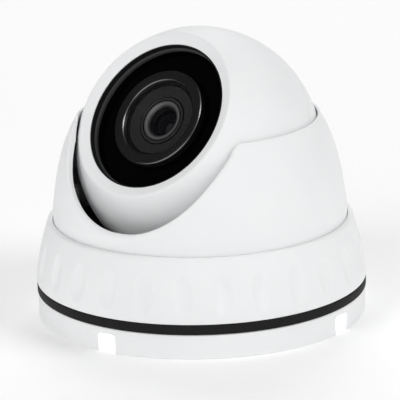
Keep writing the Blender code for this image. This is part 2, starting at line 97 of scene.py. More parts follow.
def fillet(corners, closed=True, steps=4):
    """Round the corners of an outline. Each corner is (x, y) or (x, y, radius)."""
    count = len(corners)
    outline = []
    for i, corner in enumerate(corners):
        here = Vector(corner[:2])
        radius = corner[2] if len(corner) > 2 else 0.0
        at_end = not closed and i in (0, count - 1)
        if radius <= 0.0 or at_end:
            outline.append(tuple(here))
            continue
        back = Vector(corners[i - 1][:2]) - here
        ahead = Vector(corners[(i + 1) % count][:2]) - here
        half = back.angle(ahead) / 2
        reach = min(radius / max(sin(half) / cos(half), 1e-6), 0.49 * min(back.length, ahead.length))
        radius = reach * sin(half) / cos(half)
        middle = here + (back.normalized() + ahead.normalized()).normalized() * radius / sin(half)
        start = here + back.normalized() * reach - middle
        end = here + ahead.normalized() * reach - middle
        sweep = start.angle_signed(end)
        for k in range(steps + 1):
            turn = Matrix.Rotation(-sweep * k / steps, 2)
            outline.append(tuple(middle + turn @ start))
    return outline


def ring_section(inner, outer, low, high, at_bore, at_rim, steps=4):
    """Section of a flat ring, with the rounding of its edges at the bore and at the rim."""
    return fillet([(inner, high, at_bore), (outer, high, at_rim), (outer, low, at_rim),
                   (inner, low, at_bore)], True, steps)


def disc_section(radius, low, high, rounding):
    """Half the section of a flat disc."""
    return fillet([(0.0, high), (radius, high, rounding), (radius, low, rounding), (0.0, low)], False)


def arc(radius, start, end, steps, centre=(0.0, 0.0)):
    """Points on an arc between two angles, in degrees above the horizontal."""
    angles = [radians(start + (end - start) * i / steps) for i in range(steps + 1)]
    return [(centre[0] + radius * cos(a), centre[1] + radius * sin(a)) for a in angles]


def sphere_arc(radius, high, low, steps):
    """Points on the ball's section between two heights."""
    return arc(radius, degrees(asin(high / radius)), degrees(asin(low / radius)), steps)


def spread(low, high, count):
    return [low + (high - low) * i / (count - 1) for i in range(count)]


def clamp(value):
    return min(max(value, 0.0), 1.0)


def circle_points(count, radius, start=0.0):
    angles = [radians(start) + 2 * pi * i / count for i in range(count)]
    return [(radius * cos(a), radius * sin(a)) for a in angles]


def finish_mesh(name, shape, sharp=SHARP):
    """Make a mesh from a bmesh: welded, faces outward, smooth apart from its crisp edges."""
    bmesh.ops.remove_doubles(shape, verts=shape.verts, dist=1e-7)
    bmesh.ops.recalc_face_normals(shape, faces=shape.faces)
    mesh = bpy.data.meshes.new(name)
    shape.to_mesh(mesh)
    shape.free()
    mesh.shade_smooth()
    mesh.set_sharp_from_angle(angle=radians(sharp))
    return mesh


def loft_mesh(name, loops, closed_loops=True, sharp=SHARP):
    """Skin between loops of points (in millimetres); the last loop joins the first."""
    shape = bmesh.new()
    rows = [[shape.verts.new(Vector(point) * MM) for point in loop] for loop in loops]
    size = len(rows[0])
    last = size if closed_loops else size - 1
    for i, row in enumerate(rows):
        after = rows[(i + 1) % len(rows)]
        for k in range(last):
            m = (k + 1) % size
            shape.faces.new((row[k], after[k], after[m], row[m]))
    return finish_mesh(name, shape, sharp)


def new_object(name, mesh, place):
    piece = bpy.data.objects.new(name, mesh)
    bpy.context.scene.collection.objects.link(piece)
    piece.matrix_world = place
    return piece


def turned_piece(name, profile, steps, place=UPRIGHT, sharp=SHARP):
    """Turn a profile round Z. It is a closed loop, or an open line with both ends on the axis."""
    loops = []
    for a in (2 * pi * i / steps for i in range(steps)):
        loops.append([(r * cos(a), r * sin(a), z) for r, z in profile])
    return new_object(name, loft_mesh(name, loops, profile[0][0] > 0.0, sharp), place)


def install(piece, body, node, material):
    """Give a finished piece its material and its body, and hide the CAD node that it stands for."""
    piece.data.materials.clear()
    piece.data.materials.append(material)
    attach(piece, body)
    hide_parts(node)


def apply_modifiers(piece):
    """Turn a piece's modifiers into its mesh."""
    bpy.context.view_layer.update()
    evaluated = piece.evaluated_get(bpy.context.evaluated_depsgraph_get())
    mesh = bpy.data.meshes.new_from_object(evaluated)
    piece.modifiers.clear()
    old = piece.data
    mesh.name = old.name
    piece.data = mesh
    bpy.data.meshes.remove(old)
    mesh.shade_smooth()
    mesh.set_sharp_from_angle(angle=radians(SHARP))


def combine(piece, mesh, operation):
    """Cut a mesh from a piece, or join it on, and drop the tool."""
    tool = new_object("tool", mesh, piece.matrix_world)
    change = piece.modifiers.new("combine", "BOOLEAN")
    change.operation = operation
    change.solver = "EXACT"
    change.object = tool
    apply_modifiers(piece)
    bpy.data.objects.remove(tool, do_unlink=True)
    bpy.data.meshes.remove(mesh)


def rods(spots, low, high, radius):
    """Equal cylinders along Z, one at each spot (x, y)."""
    return [(x, y, low, high, radius) for x, y in spots]


def rods_mesh(cylinders):
    shape = bmesh.new()
    for x, y, low, high, radius in cylinders:
        place = Matrix.Translation(Vector((x, y, (low + high) / 2)) * MM)
        bmesh.ops.create_cone(shape, cap_ends=True, segments=COARSE, radius1=radius * MM,
                              radius2=radius * MM, depth=(high - low) * MM, matrix=place)
    return finish_mesh("rods", shape)


def add_rods(piece, cylinders):
    combine(piece, rods_mesh(cylinders), "UNION")


def drill(piece, cylinders):
    combine(piece, rods_mesh(cylinders), "DIFFERENCE")


# ---------------------------------------------------------------- materials

def principled(name, colour, roughness, metallic=0.0, **extra):
    """A Principled material; its tree, its shader and an object-space coordinate socket."""
    material = bpy.data.materials.new(name)
    material.use_nodes = True
    tree = material.node_tree
    shader = tree.nodes["Principled BSDF"]
    shader.inputs["Base Color"].default_value = (*colour, 1.0)
    shader.inputs["Roughness"].default_value = roughness
    shader.inputs["Metallic"].default_value = metallic
    for key, value in extra.items():
        shader.inputs[key.replace("_", " ")].default_value = value
    coordinates = tree.nodes.new("ShaderNodeTexCoord")
    return material, tree, shader, coordinates.outputs["Object"]


def noise(tree, place, scale, detail=3.0, rough=0.6):
    """Soft random values, mostly from 0.3 to 0.7."""
    node = tree.nodes.new("ShaderNodeTexNoise")
    node.inputs["Scale"].default_value = scale
    node.inputs["Detail"].default_value = detail
    node.inputs["Roughness"].default_value = rough
    tree.links.new(place, node.inputs["Vector"])
    return node.outputs["Fac"]


def ramp(tree, value, low, high, from_low=0.3, from_high=0.7):
    """Map a value from one range to another; the first range suits noise unless it is given."""
    node = tree.nodes.new("ShaderNodeMapRange")
    node.inputs["From Min"].default_value = from_low
    node.inputs["From Max"].default_value = from_high
    node.inputs["To Min"].default_value = low
    node.inputs["To Max"].default_value = high
    tree.links.new(value, node.inputs["Value"])
    return node.outputs["Result"]


def vary_colour(tree, shader, value, first, second):
    """Let the base colour drift between two colours."""
    node = tree.nodes.new("ShaderNodeMix")
    node.data_type = "RGBA"
    node.inputs["A"].default_value = (*first, 1.0)
    node.inputs["B"].default_value = (*second, 1.0)
    tree.links.new(ramp(tree, value, 0.0, 1.0), node.inputs["Factor"])
    tree.links.new(node.outputs["Result"], shader.inputs["Base Color"])


def bump(tree, shader, height, strength, distance, below=None):
    """Relief on the surface, on top of a coarser relief if one is given."""
    node = tree.nodes.new("ShaderNodeBump")
    node.inputs["Strength"].default_value = strength
    node.inputs["Distance"].default_value = distance
    tree.links.new(height, node.inputs["Height"])
    if below:
        tree.links.new(below, node.inputs["Normal"])
    tree.links.new(node.outputs["Normal"], shader.inputs["Normal"])
    return node.outputs["Normal"]


def grained(name, first, second, roughness, grain, depth, metallic=0.0, cloud=60.0, **extra):
    """A moulded or coated surface: drifting colour, uneven gloss, and a fine grain in relief.

    The colour drifts between the first and the second. The depth of the grain is in metres, and its
    scale and that of the clouds of colour are in waves per metre.
    """
    material, tree, shader, place = principled(name, first, sum(roughness) / 2, metallic, **extra)
    broad = noise(tree, place, cloud)
    fine = noise(tree, place, grain, 2.0, 0.5)
    vary_colour(tree, shader, broad, first, second)
    tree.links.new(ramp(tree, fine, *roughness), shader.inputs["Roughness"])
    waves = bump(tree, shader, broad, 0.15, depth * 4)
    bump(tree, shader, fine, 0.6, depth, waves)
    return material


def axis_distance(tree, place):
    """Distance from a piece's own Z axis."""
    flat = tree.nodes.new("ShaderNodeVectorMath")
    flat.operation = "MULTIPLY"
    flat.inputs[1].default_value = (1.0, 1.0, 0.0)
    tree.links.new(place, flat.inputs[0])
    length = tree.nodes.new("ShaderNodeVectorMath")
    length.operation = "LENGTH"
    tree.links.new(flat.outputs["Vector"], length.inputs[0])
    return length.outputs["Value"]


def axis_height(tree, place):
    """Height along a piece's own Z axis."""
    split = tree.nodes.new("ShaderNodeSeparateXYZ")
    tree.links.new(place, split.inputs["Vector"])
    return split.outputs["Z"]


def painted_highlight_band(material, measure, middle, half, colour, polished=False):
    """Paint one turned band of a piece a lighter colour, as a painted highlight, and polish it to metal if
    asked.

    The band reaches half its width to either side of its middle, in millimetres of axis_distance or
    of axis_height.
    """
    tree = material.node_tree
    shader = tree.nodes["Principled BSDF"]
    below = shader.inputs["Base Color"].links[0].from_socket
    place = tree.nodes.new("ShaderNodeTexCoord").outputs["Object"]
    inside = tree.nodes.new("ShaderNodeMath")
    inside.operation = "COMPARE"
    inside.inputs[1].default_value = middle * MM
    inside.inputs[2].default_value = half * MM
    tree.links.new(measure(tree, place), inside.inputs[0])
    if polished:
        tree.links.new(inside.outputs["Value"], shader.inputs["Metallic"])
    blend = tree.nodes.new("ShaderNodeMix")
    blend.data_type = "RGBA"
    blend.inputs["B"].default_value = (*colour, 1.0)
    tree.links.new(inside.outputs["Value"], blend.inputs["Factor"])
    tree.links.new(below, blend.inputs["A"])
    tree.links.new(blend.outputs["Result"], shader.inputs["Base Color"])


WHITE = grained("white_moulding", (0.88, 0.885, 0.89), (0.86, 0.867, 0.874),
                roughness=(0.58, 0.7), grain=2600.0, depth=4e-6, Specular_IOR_Level=0.3)
RUBBER = grained("black_rubber", (0.012, 0.012, 0.012), (0.008, 0.008, 0.008),
                 roughness=(0.5, 0.7), grain=1800.0, depth=8e-6, Specular_IOR_Level=0.15)
MATTE_BLACK = grained("black_moulding", (0.010, 0.010, 0.011), (0.007, 0.007, 0.008),
                      roughness=(0.38, 0.55), grain=3200.0, depth=3e-6, Specular_IOR_Level=0.1)
TRIM = grained("trim_moulding", (0.012, 0.012, 0.013), (0.009, 0.009, 0.010),
               roughness=(0.38, 0.55), grain=3200.0, depth=3e-6, Specular_IOR_Level=0.1)
# painted reflection: a lighter grey band on the trim's lower inner wall stands for light reflected there
painted_highlight_band(TRIM, axis_height, 19.9, 0.85, (0.06, 0.06, 0.061))
COLLAR = grained("collar_moulding", (0.010, 0.010, 0.011), (0.007, 0.007, 0.008),
                 roughness=(0.25, 0.33), grain=3200.0, depth=1e-6, Specular_IOR_Level=0.1)
# painted highlight: a light grey metal band on the collar's inner bevel stands for the bright crescent
# where a lamp is reflected
painted_highlight_band(COLLAR, axis_height, 21.3, 0.14, (0.2, 0.2, 0.203), polished=True)
FOAM = grained("baffle_flock", (0.028, 0.028, 0.028), (0.012, 0.012, 0.012),
               roughness=(0.85, 1.0), grain=4200.0, depth=2e-5, cloud=5000.0, Specular_IOR_Level=0.05)
WINDOW = grained("infrared_window", (0.001, 0.001, 0.001), (0.0005, 0.0005, 0.0005),
                 roughness=(0.05, 0.09), grain=500.0, depth=5e-7, Specular_IOR_Level=0.02)
ANODISED = grained("anodised_black", (0.014, 0.014, 0.015), (0.010, 0.010, 0.011),
                   roughness=(0.3, 0.42), grain=2400.0, depth=2e-6, Specular_IOR_Level=0.3)
# painted highlight: a lighter grey band on the barrel's front face stands for a highlight on that edge
painted_highlight_band(ANODISED, axis_distance, 5.35, 0.4, (0.08, 0.08, 0.082))
STEEL = grained("machined_steel", (0.6, 0.6, 0.61), (0.5, 0.5, 0.52),
                roughness=(0.25, 0.4), grain=3000.0, depth=4e-6, metallic=1.0)
BRASS = grained("turned_brass", (0.74, 0.56, 0.26), (0.62, 0.45, 0.2),
                roughness=(0.25, 0.4), grain=3000.0, depth=4e-6, metallic=1.0)
COPPER = grained("coil_winding", (0.5, 0.2, 0.08), (0.36, 0.12, 0.05),
                 roughness=(0.3, 0.45), grain=5000.0, depth=2e-5, metallic=0.8)
CHIP = grained("chip_epoxy", (0.03, 0.03, 0.034), (0.02, 0.02, 0.023),
               roughness=(0.5, 0.65), grain=3500.0, depth=6e-6)
LAMP = grained("lamp_epoxy", (0.8, 0.78, 0.7), (0.72, 0.7, 0.6),
               roughness=(0.12, 0.22), grain=900.0, depth=2e-6)
NYLON = grained("natural_nylon", (0.72, 0.71, 0.66), (0.64, 0.63, 0.58),
                roughness=(0.45, 0.6), grain=1500.0, depth=8e-6)
BOARD = grained("solder_mask", (0.012, 0.13, 0.05), (0.02, 0.2, 0.085),
                roughness=(0.3, 0.5), grain=1300.0, depth=1.2e-5, cloud=700.0)
PANE = grained("coated_pane", (0.9, 0.9, 0.92), (0.88, 0.89, 0.92),
               roughness=(0.02, 0.04), grain=300.0, depth=1e-7, Alpha=0.002)
LENS_GLASS = grained("coated_lens", (0.001, 0.001, 0.002), (0.001, 0.001, 0.002),
                     roughness=(0.02, 0.05), grain=400.0, depth=2e-7, Specular_IOR_Level=0.04)


def glass(name, tint, ior=1.5):
    """Clear glass with a faint unevenness in its polish."""
    material, tree, shader, place = principled(name, tint, 0.01, Transmission_Weight=1.0, IOR=ior)
    unevenness = ramp(tree, noise(tree, place, 300.0), 0.0, 0.02)
    tree.links.new(unevenness, shader.inputs["Roughness"])
    return material


CLEAR = glass("clear_glass", (0.97, 0.98, 0.98), 1.1)
FILTER = glass("filter_glass", (0.55, 0.85, 0.9))


# ---------------------------------------------------------------- base

LEDGE_Z = 7.08                 # the gasket lies on this ledge
FLOOR_LOW, FLOOR_TOP = 5.3, 7.5
CABLE_HOLE_R = 7.5
BASE_GAP = 0.05                # between the base and its rubber parts


def notches_mesh():
    """Four rounded blocks that cut the notches, each a little to one side of the base's X or Y axis."""
    half_wide, top, low, corner, off_axis = 3.0, 5.25, -2.0, 0.9, 0.57
    inner_end, outer_end = 44.2, 49.0
    outline = fillet([(-half_wide, top, corner), (half_wide, top, corner), (half_wide, low),
                      (-half_wide, low)], steps=6)
    shape = bmesh.new()
    for turn in range(4):
        spin = Matrix.Rotation(pi / 2 * turn, 4, "Z")
        aside = off_axis * (-1) ** turn
        ends = []
        for r in (inner_end, outer_end):
            ends.append([shape.verts.new(spin @ (Vector((r, x + aside, z)) * MM)) for x, z in outline])
        near, far = ends
        for k in range(len(outline)):
            m = (k + 1) % len(outline)
            shape.faces.new((near[k], far[k], far[m], near[m]))
        shape.faces.new(near)
        shape.faces.new(far[::-1])
    return finish_mesh("notches", shape)


def make_base_cup():
    """Cup with four notches in its skirt, three screw holes in its floor and a groove in its neck."""
    skirt_r, skirt_in = 46.7, 45.1
    neck_r, neck_in, neck_top = 42.9, 40.2, 16.7
    groove_r, groove_in, groove_z = 42.2, 41.0, 15.5
    profile = fillet([
        (groove_r, neck_top, 0.2), (neck_r, neck_top, 0.3), (neck_r, LEDGE_Z, 0.3),
        (skirt_r, LEDGE_Z, 0.45), (skirt_r, 0.0, 0.4), (skirt_in, 0.0, 0.3), (skirt_in, FLOOR_LOW, 0.8),
        (CABLE_HOLE_R, FLOOR_LOW, 0.2), (CABLE_HOLE_R, FLOOR_TOP, 0.2),
        (neck_in, FLOOR_TOP, 1.0), (neck_in, neck_top, 0.3),
        (groove_in, neck_top, 0.2), (groove_in, groove_z), (groove_r, groove_z)])
    cup = turned_piece("base_cup_shell", profile, FINE)
    combine(cup, notches_mesh(), "DIFFERENCE")
    screw_hole_r = 2.3
    screw_spots = circle_points(3, 32.0, 30)
    drill(cup, rods(screw_spots, FLOOR_LOW - 1, FLOOR_TOP + 1, screw_hole_r))
    soften = cup.modifiers.new("soften", "BEVEL")
    soften.width = 0.22 * MM
    soften.segments = 2
    soften.limit_method = "ANGLE"
    soften.angle_limit = radians(50)
    apply_modifiers(cup)
    install(cup, "base", "base_cup", WHITE)


def make_base_rubber():
    """The gasket on the ledge, the cable grommet in the floor, and the pan seal in the neck's groove."""
    gasket_top = 9.94
    profile = ring_section(43.3, 46.95, LEDGE_Z + BASE_GAP, gasket_top, 0.2, 0.35)
    gasket = turned_piece("gasket_ring", profile, FINE)
    install(gasket, "base", "base_gasket", RUBBER)

    lip, flange, bore, waist = 1.4, 9.5, 3.6, CABLE_HOLE_R - 0.1
    low, high = FLOOR_LOW - BASE_GAP, FLOOR_TOP + BASE_GAP
    profile = fillet([
        (bore, high + lip, 0.5), (flange - 1.0, high + lip, 0.6), (flange, high, 0.3), (waist, high),
        (waist, low), (flange, low, 0.3), (flange - 0.5, low - lip, 0.6), (bore, low - lip, 0.5)])
    grommet = turned_piece("grommet_ring", profile, MEDIUM)
    install(grommet, "base", "cable_grommet", RUBBER)

    inner, outer = 41.25, 41.95
    low, high = node_span("pan_seal")
    profile = fillet([(inner, high, 0.3), (outer, high, 0.3), (outer, low, 0.2), (inner, low, 0.2)],
                     steps=3)
    seal = turned_piece("pan_seal_ring", profile, FINE)
    install(seal, "base", "pan_seal", RUBBER)


# ---------------------------------------------------------------- locking ring

def ring_radius_at(z):
    """Outer radius of the locking ring, which swells gently towards its foot."""
    t = (z - 12.0) / 10.0
    return 46.93 - 0.77 * t - 1.39 * t ** 2 + 0.28 * t ** 3


def dimple_depth(across, z):
    """How far the ring's face is scooped in, from the distance across a dimple and the height."""
    middle, half_high, half_wide, deep = 17.8, 5.5, 2.72, 0.9
    return deep * max(0.0, 1.0 - (across / half_wide) ** 2 - ((z - middle) / half_high) ** 2)


def make_ring():
    """The locking ring, with its finger dimples scooped from the face, and the washer under it."""
    low, face_top, lip_z, bore, lip_edge = 10.0, 26.4, 27.85, 41.93, 43.3
    thread_r, shoulder_z, join_z = 43.3, 20.4, lip_z - 1.2
    outer = [(ring_radius_at(z), z) for z in spread(face_top, low + 0.5, 72)]
    top = fillet([(bore, join_z), (bore, lip_z, 0.12), (lip_edge, lip_z, 1.0), outer[0]], False, 6)[:-1]
    foot_r = ring_radius_at(low)
    foot = [(foot_r - 0.06, low + 0.2), (foot_r - 0.22, low + 0.06), (foot_r - 0.45, low)]
    inner = fillet([foot[-1], (thread_r, low, 0.3), (thread_r, shoulder_z), (bore, shoulder_z, 0.2),
                    (bore, join_z)], False)[1:-1]
    profile = top + outer + foot + inner
    face = range(len(top), len(top) + len(outer))
    columns = RING_PITCHES * 36
    pitch = 2 * pi / RING_PITCHES
    loops = []
    for i in range(columns):
        way_round = 2 * pi * i / columns
        angle = way_round - pi / 2
        off = (way_round + pitch / 2) % pitch - pitch / 2
        loop = []
        for k, (r, z) in enumerate(profile):
            r -= dimple_depth(off * r, z) if k in face else 0.0
            loop.append((r * cos(angle), r * sin(angle), z))
        loops.append(loop)
    ring = new_object("locking_ring_face", loft_mesh("locking_ring_face", loops), UPRIGHT)
    install(ring, "ring", "locking_ring", WHITE)

    low, high = node_span("slip_washer")
    profile = ring_section(42.1, 43.0, low, high, 0.15, 0.15, 2)
    washer = turned_piece("slip_washer_ring", profile, FINE)
    install(washer, "ring_carrier", "slip_washer", NYLON)


# ---------------------------------------------------------------- dome cover

COVER_LOW = node_span("dome_cover")[0]
SKIRT_R, SKIRT_TOP = 41.75, 28.0       # the plain foot of the cover, inside the locking ring
COVER_WALL = 2.0
RIM_Z = 57.3                   # the height of the cut-out's ends and of the rim round the back
RETAINER_SPOTS = circle_points(3, 37.2, 90)


def dome_radius_at(z):
    """Outer radius of the dome cover, nowhere wider than its skirt."""
    t = max(z - SKIRT_TOP, 0.0) / 10.0
    return min(42.23 - 1.47 * t + 0.31 * t ** 2 - 0.25 * t ** 3, SKIRT_R)


def dome_wall_at(z):
    """Wall of the dome cover: thinned near the rim, where it closes round the ball."""
    clearance = 0.45
    ball = sqrt(max(BALL_R ** 2 - (z - BALL_Z) ** 2, 0.0))
    return min(COVER_WALL, dome_radius_at(z) - ball - clearance)


def bend(start, first, second, end, steps):
    """Points on a cubic curve, without its start."""
    points = []
    for i in range(1, steps + 1):
        t = i / steps
        point = start * (1 - t) ** 3 + first * 3 * t * (1 - t) ** 2
        point += second * 3 * t ** 2 * (1 - t)
        point += end * t ** 3
        points.append(tuple(point))
    return points


def evenly_spaced(line, count):
    """Points at equal steps along a line of points."""
    lengths = [0.0]
    for a, b in zip(line, line[1:]):
        lengths.append(lengths[-1] + (Vector(b) - Vector(a)).length)
    points = []
    k = 0
    for i in range(count + 1):
        want = lengths[-1] * i / count
        while k < len(lengths) - 2 and lengths[k + 1] < want:
            k += 1
        share = (want - lengths[k]) / (lengths[k + 1] - lengths[k])
        points.append(Vector(line[k]).lerp(Vector(line[k + 1]), share))
    return points


def dome_edge(count):
    """The cover's upper edge from the middle of the cut-out round to the back, as (angle, height)."""
    half_top, top, deep, fullness = 27.58, 59.0, 26.45, 0.572
    unroll = 36.0              # turns an angle into a distance round the cover
    corner_high, corner_wide, pull = 3.5, 4.7, 0.58
    line = []
    for i in range(121):
        x = half_top * sin(radians(90 * i / 120))
        z = top - deep * (1 - (x / half_top) ** 2) ** fullness
        if z < RIM_Z - corner_high:
            line.append((asin(x / dome_radius_at(z)) * unroll, z))
    start = Vector(line[-1])
    end = Vector((start.x + corner_wide, RIM_Z))
    heading = (start - Vector(line[-2])).normalized()
    first = start + heading * (RIM_Z - start.y) * pull
    second = end - Vector((corner_wide * pull, 0.0))
    line += bend(start, first, second, end, 24)
    line.append((pi * unroll, RIM_Z))
    return [(point.x / unroll, point.y) for point in evenly_spaced(line, count)]


def on_dome(angle, z, inset=0.0):
    """A point on the cover's outer face, or inset from it; the angle is from -Y towards +X."""
    r = dome_radius_at(z) - inset
    return Vector((r * sin(angle), -r * cos(angle), z))


def dome_normal(angle, z):
    slope = (dome_radius_at(z + 0.05) - dome_radius_at(z - 0.05)) / 0.1
    return Vector((sin(angle), -cos(angle), -slope)).normalized()


def cover_lip(angle, z, ahead, behind):
    """The cover's edge from its outer face to its inner one.

    The edge is square to the wall at the rim. Lower down it turns to run straight along Y, and the inner
    side of the cut-out drops away a little.
    """
    out = dome_normal(angle, z)
    along = (ahead - behind).normalized()
    up = out.cross(along)
    if up.z < 0.0:
        up = -up
    wall = dome_wall_at(z)
    slant = 1.6 * abs(sin(angle)) * clamp((46.0 - z) / 10.0)
    below = -2.5
    outer_round = min(0.7, 0.55 * wall)
    inner_round = min(0.15, 0.3 * wall)
    section = fillet([(0.0, below), (0.0, 0.0, outer_round), (-wall, -slant, inner_round),
                      (-wall, below)], False, 5)[1:-1]
    edge = on_dome(angle, z)
    straight = Vector((0.0, -1.0 / max(-out.y, 0.5), 0.0))
    through = out.lerp(straight, clamp((50.0 - z) / 8.0))
    return [edge + through * across + up * rise for across, rise in section]


def cover_face(end, foot_angle, inside):
    """Points from one end of the lip down to the skirt, which they reach at the foot's angle."""
    steps = 26
    start_angle = atan2(end.x, -end.y)
    if foot_angle > pi / 2 and start_angle < 0.0:
        start_angle += 2 * pi
    if foot_angle < -pi / 2 and start_angle > 0.0:
        start_angle -= 2 * pi
    face = []
    for k in range(1, steps + 1):
        share = k / steps
        height = end.z + (SKIRT_TOP - end.z) * share
        turn = start_angle + (foot_angle - start_angle) * share
        face.append(on_dome(turn, height, dome_wall_at(height) if inside else 0.0))
    return face


def cover_section(angle, z, ahead, behind, foot_angle):
    """One loop round the cover's wall: down outside, round the flange, up inside and over the lip."""
    lip = cover_lip(angle, z, ahead, behind)
    outer_face = cover_face(lip[0], foot_angle, False)
    inner_face = cover_face(lip[-1], foot_angle, True)
    flange_r, flange_top = 43.0, 19.0
    skirt_in, join_z = SKIRT_R - COVER_WALL, SKIRT_TOP - 1
    foot = fillet([(SKIRT_R, join_z), (SKIRT_R, flange_top, 0.3), (flange_r, flange_top, 0.3),
                   (flange_r, COVER_LOW, 0.3), (skirt_in, COVER_LOW, 0.3), (skirt_in, join_z)], False)
    skirt = [Vector((r * sin(foot_angle), -r * cos(foot_angle), height)) for r, height in foot]
    return outer_face + skirt + inner_face[::-1] + lip[::-1]


def make_dome():
    """The dome cover as one rounded sheet whose edge follows the U-shaped cut-out."""
    half = dome_edge(200)
    edge = [(-a, z) for a, z in half[:0:-1]] + half[:-1]
    count = len(edge)
    points = [on_dome(a, z) for a, z in edge]
    loops = []
    for i, (angle, z) in enumerate(edge):
        foot_angle = -pi + 2 * pi * i / count
        loops.append(cover_section(angle, z, points[(i + 1) % count], points[i - 1], foot_angle))
    cover = new_object("dome_cover_shell", loft_mesh("dome_cover_shell", loops), UPRIGHT)
    boss_r, boss_hole_r, screw_hole_r = 2.9, 1.3, 1.4
    add_rods(cover, rods(RETAINER_SPOTS, 24.8, 36.0, boss_r))
    drill(cover, rods(RETAINER_SPOTS, 23.8, 33.0, boss_hole_r))
    install(cover, "dome", "dome_cover", WHITE)

    low, high = node_span("ball_retainer")
    plate = turned_piece("retainer_plate", ring_section(27.4, 39.4, low, high, 0.4, 0.3), FINE)
    drill(plate, rods(RETAINER_SPOTS, low - 1, high + 1, screw_hole_r))
    install(plate, "dome", "ball_retainer", MATTE_BLACK)

    clearance, outer = 0.4, 31.5
    low, high = node_span("friction_ring")
    bore_low, bore_high = [sqrt(BALL_R ** 2 - (z - BALL_Z) ** 2) + clearance for z in (low, high)]
    profile = fillet([(bore_high, high, 0.3), (outer, high, 0.3), (outer, low, 0.3), (bore_low, low, 0.3)])
    pad = turned_piece("friction_pad", profile, FINE)
    install(pad, "dome", "friction_ring", RUBBER)


# ---------------------------------------------------------------- eyeball

POCKET_FLOOR, PAD_FLOOR = -31.9, -30.2     # outer and inner face of the rear shell's floor
GLAND_HOLE_R = 6.3
SHELL_SPOTS = circle_points(3, 28.6, 30)                               # screws that join the shells
STACK_SPOTS = [(x, y) for x in (-17.0, 17.0) for y in (-17.0, 17.0)]   # screws through the boards


def shell_face(high, low, steps):
    """The front shell's outer face: the ball, pressed in slightly towards the bezel."""
    top, bottom = degrees(asin(high / BALL_R)), degrees(asin(low / BALL_R))
    flat_from, flat_to, flat = 26.7, 38.9, 0.35
    face = []
    for a in spread(top, bottom, steps + 1):
        share = clamp((a - flat_from) / (flat_to - flat_from))
        r = BALL_R - flat * share * share * (3.0 - 2.0 * share)
        face.append((r * cos(radians(a)), r * sin(radians(a))))
    return face


def make_front_shell():
    """Front shell with its funnel bezel, four posts for the boards and three for the rear shell."""
    low, lip_low = SEAM_H + HALF_SEAM, 21.2
    outer = shell_face(22.7, SEAM_H + 0.25, 56)
    bezel = fillet([(22.02, lip_low, 0.1), (21.95, 22.38, 0.12), (25.05, 23.5, 0.7), outer[0]],
                   False, 6)[:-1]
    inner = sphere_arc(BALL_IN_R, low, lip_low, 24)
    front = turned_piece("eye_front_shell", bezel + outer + [(SEAM_R, low)] + inner, FINE, EYE)
    stack_post_r, stack_hole_r = 2.1, 1.4
    shell_post_r, shell_hole_r = 2.2, 1.2
    posts = rods(STACK_SPOTS, 15.5, 22.0, stack_post_r) + rods(SHELL_SPOTS, low, 13.0, shell_post_r)
    add_rods(front, posts)
    holes = rods(STACK_SPOTS, 14.5, 21.0, stack_hole_r) + rods(SHELL_SPOTS, SEAM_H - 1, 6.0, shell_hole_r)
    drill(front, holes)
    install(front, "eye", "front_shell", WHITE)


def screw_sockets_mesh():
    """Three blocks for the shell screws, kept inside the ball."""
    block_r = 3.0
    inside = bmesh.new()
    bmesh.ops.create_uvsphere(inside, u_segments=96, v_segments=64, radius=(BALL_R - 1.0) * MM)
    blocks = new_object("blocks", rods_mesh(rods(SHELL_SPOTS, -17.0, SEAM_H - 1.2, block_r)), EYE)
    combine(blocks, finish_mesh("inside", inside), "INTERSECT")
    mesh = blocks.data
    bpy.data.objects.remove(blocks, do_unlink=True)
    return mesh


def make_rear_shell():
    """Rear shell with its cable pocket and the sockets for the shell screws."""
    top, pocket_r = SEAM_H - HALF_SEAM, 9.3
    pocket_edge = -sqrt(BALL_R ** 2 - pocket_r ** 2)
    pad_r = sqrt(BALL_IN_R ** 2 - PAD_FLOOR ** 2)
    outer = [(SEAM_R, top)] + sphere_arc(BALL_R, top - 0.2, pocket_edge, 44)
    pocket = fillet([outer[-2], (pocket_r, pocket_edge, 0.3), (pocket_r, POCKET_FLOOR, 0.3),
                     (GLAND_HOLE_R, POCKET_FLOOR, 0.2), (GLAND_HOLE_R, PAD_FLOOR, 0.2),
                     (pad_r, PAD_FLOOR)], False)[1:-1]
    inner = sphere_arc(BALL_IN_R, PAD_FLOOR, top, 24)
    rear = turned_piece("eye_rear_shell", outer[:-1] + pocket + inner, FINE, EYE)
    combine(rear, screw_sockets_mesh(), "UNION")
    head_r, shank_r = 2.2, 1.2
    add_rods(rear, rods(SHELL_SPOTS, SEAM_H - 2.2, top, head_r))
    drill(rear, rods(SHELL_SPOTS, -30.0, -9.0, head_r))
    drill(rear, rods(SHELL_SPOTS, -10.0, top + 1, shank_r))
    install(rear, "eye", "rear_shell", WHITE)


def turn_eye_piece(name, profile, steps, body, node, material, sharp=SHARP):
    install(turned_piece(name, profile, steps, EYE, sharp), body, node, material)


def make_shell_rubber():
    """The seal between the two shells, and the gland for the lead in the rear shell's floor."""
    half_seal = 0.9
    seal = ring_section(31.1, 32.25, SEAM_H - half_seal, SEAM_H + half_seal, 0.3, 0.3)
    turn_eye_piece("shell_seal_ring", seal, FINE, "eye", "shell_seal", RUBBER)

    bore, waist, catch_r, flange = 3.0, GLAND_HOLE_R - 0.3, 8.2, 9.0
    catch_low, catch_top = PAD_FLOOR + 0.1, PAD_FLOOR + 1.6
    flange_top, flange_low = POCKET_FLOOR - 0.1, -33.2
    gland = fillet([
        (bore, catch_top, 0.4), (catch_r - 0.8, catch_top, 0.4), (catch_r, catch_low, 0.2),
        (waist, catch_low), (waist, flange_top),
        (flange, flange_top, 0.2), (flange, flange_low, 0.5), (bore, flange_low, 0.6)])
    turn_eye_piece("gland_ring", gland, MEDIUM, "gland", "rear_gland", RUBBER)


